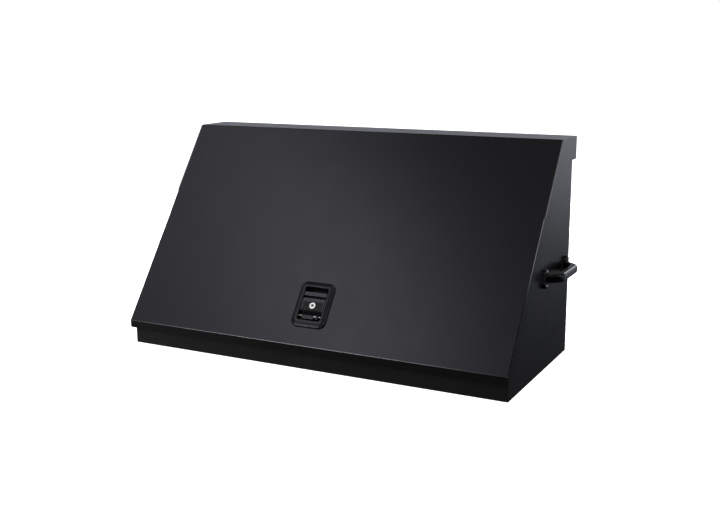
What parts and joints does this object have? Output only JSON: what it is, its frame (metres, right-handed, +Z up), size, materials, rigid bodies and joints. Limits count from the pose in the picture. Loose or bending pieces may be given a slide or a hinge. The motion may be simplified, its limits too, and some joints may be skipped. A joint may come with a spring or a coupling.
{
  "type": "tool box",
  "caption": "Slant-front steel tool box whose front and top lift as one lid on a rear piano hinge, with a recessed paddle latch, side handles and gas struts.",
  "frame": {"origin": "centre of the footprint at the underside of the floor", "axes": "+X across the box, the slanted front faces -Y, +Z up"},
  "size_m": [1.114, 0.463, 0.545],
  "materials": {
    "body_paint": "satin black powder coat",
    "lid_paint": "satin black powder coat",
    "seal": "matte foam rubber",
    "gasket": "matte",
    "handle": "semi-gloss black",
    "black_screws": "black zinc",
    "zinc_steel": "zinc plated",
    "hinge_steel": "satin black powder coat",
    "latch_dish": "semi-gloss black casting",
    "paddle": "semi-gloss black casting",
    "bright_pin": "bright",
    "lock_chrome": "polished",
    "lock_face": "brushed nickel",
    "strut_tube": "gloss black",
    "strut_rod": "ground and plated",
    "strut_plastic": "moulded nylon"
  },
  "bodies": {
    "body": {"floor_pan": "body_paint", "front_sill": "body_paint", "back_panel": "body_paint", "side_wall_left": "body_paint", "side_wall_right": "body_paint", "weather_seal": "seal", "tier_shelf": "body_paint", "tier_end_left": "body_paint", "tier_end_right": "body_paint", "side_handle_left": "handle", "side_handle_right": "handle", "handle_screws_left": "black_screws", "handle_screws_right": "black_screws", "handle_nut_plates_left": "zinc_steel", "handle_nut_plates_right": "zinc_steel", "hinge_leaf_body": "hinge_steel", "hinge_pin": "hinge_steel", "hinge_rivets_body": "zinc_steel", "strut_bracket_body_left": "zinc_steel", "strut_bracket_body_right": "zinc_steel", "striker_plate": "zinc_steel", "striker_rivets": "zinc_steel"},
    "lid": {"lid_panel": "lid_paint", "lid_cheek_left": "lid_paint", "lid_cheek_right": "lid_paint", "lid_stiffener_left": "lid_paint", "lid_stiffener_right": "lid_paint", "hinge_leaf_lid": "hinge_steel", "hinge_rivets_lid": "zinc_steel", "strut_bracket_lid_left": "zinc_steel", "strut_bracket_lid_right": "zinc_steel", "latch_dish": "latch_dish", "latch_gasket": "gasket", "latch_nuts": "zinc_steel", "latch_frame": "zinc_steel", "latch_screws": "zinc_steel", "paddle_pin": "bright_pin", "paddle_spring": "black_screws"},
    "latch_paddle": {"latch_paddle": "paddle", "lock_barrel": "lock_chrome"},
    "lock_plug": {"lock_plug": "lock_face", "lock_cam": "zinc_steel", "cam_screw": "zinc_steel"},
    "latch_bolt": {"latch_bolt": "zinc_steel"},
    "strut_cylinder_left": {"strut_foot_socket_left": "strut_plastic", "strut_cylinder_left": "strut_tube", "strut_gland_left": "strut_plastic"},
    "strut_rod_left": {"strut_rod_left": "strut_rod", "strut_head_socket_left": "strut_plastic"},
    "strut_cylinder_right": {"strut_foot_socket_right": "strut_plastic", "strut_cylinder_right": "strut_tube", "strut_gland_right": "strut_plastic"},
    "strut_rod_right": {"strut_rod_right": "strut_rod", "strut_head_socket_right": "strut_plastic"}
  },
  "joints": [
    {"name": "lid_hinge", "type": "hinge", "parent": "body", "child": "lid", "pos_m": [0, 0.22475, 0.491], "axis": [-1, 0, 0], "range_deg": [0, 75]},
    {"name": "paddle_hinge", "type": "hinge", "parent": "lid", "child": "latch_paddle", "pos_m": [0, -0.18499, 0.12539], "axis": [1, 0, 0], "range_deg": [0, 35], "stiffness_Nm_per_rad": 0.2, "springref_deg": -28.65},
    {"name": "lock_turn", "type": "hinge", "parent": "latch_paddle", "child": "lock_plug", "pos_m": [0, -0.16887, 0.14545], "axis": [0, -0.8102, 0.5862], "range_deg": [0, 90]},
    {"name": "bolt_slide", "type": "slide", "parent": "lid", "child": "latch_bolt", "axis": [0, 0.5862, 0.8102], "range_m": [0, 0.012]},
    {"name": "strut_left_turn", "type": "hinge", "parent": "body", "child": "strut_cylinder_left", "pos_m": [-0.478, 0.1935, 0.29], "axis": [-1, 0, 0], "range_deg": [0, 20.1]},
    {"name": "strut_left_slide", "type": "slide", "parent": "strut_cylinder_left", "child": "strut_rod_left", "axis": [0, -0.3558, 0.9346], "range_m": [0, 0.0945]},
    {"name": "strut_right_turn", "type": "hinge", "parent": "body", "child": "strut_cylinder_right", "pos_m": [0.478, 0.1935, 0.29], "axis": [-1, 0, 0], "range_deg": [0, 20.1]},
    {"name": "strut_right_slide", "type": "slide", "parent": "strut_cylinder_right", "child": "strut_rod_right", "axis": [0, -0.3558, 0.9346], "range_m": [0, 0.0945]}
  ],
  "couplings": [
    {"joint": "bolt_slide", "follows": "paddle_hinge", "m_per_rad": 0.0196},
    {"joint": "strut_left_turn", "follows": "lid_hinge", "ratio": 0.26677},
    {"joint": "strut_left_slide", "follows": "lid_hinge", "m_per_rad": 0.07181},
    {"joint": "strut_right_turn", "follows": "lid_hinge", "ratio": 0.26677},
    {"joint": "strut_right_slide", "follows": "lid_hinge", "m_per_rad": 0.07181}
  ]
}
